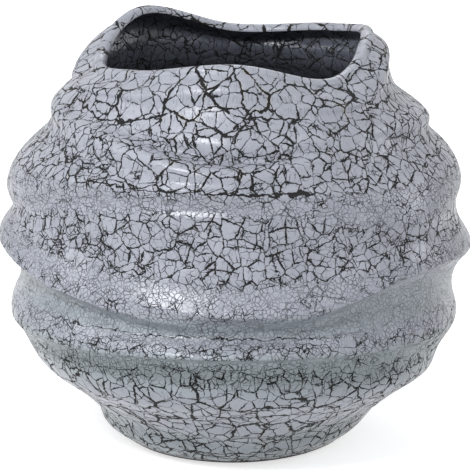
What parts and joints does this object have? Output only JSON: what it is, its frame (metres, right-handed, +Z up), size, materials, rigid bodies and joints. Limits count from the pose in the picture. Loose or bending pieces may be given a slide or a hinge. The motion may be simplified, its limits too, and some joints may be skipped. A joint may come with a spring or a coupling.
{
  "type": "ceramic vase",
  "caption": "Squat round ceramic vase with flowing sideways folds, a wavy rounded lip, a crackled grey glaze and felt discs under its foot ring.",
  "frame": {"origin": "on the surface that the vase stands on, under the centre of its box", "axes": "+Z up out of the mouth; the pictured side faces -Y, with +X to its right"},
  "size_m": [0.2621, 0.2709, 0.2348],
  "materials": {
    "crackle_glaze": "satin grey glaze, crackled over a near-black ground",
    "felt": "pressed felt"
  },
  "bodies": {
    "root": {"vase_body": "crackle_glaze", "felt_disc_back_right": "felt", "felt_disc_back_left": "felt", "felt_disc_front_left": "felt", "felt_disc_front_right": "felt"}
  },
  "joints": []
}
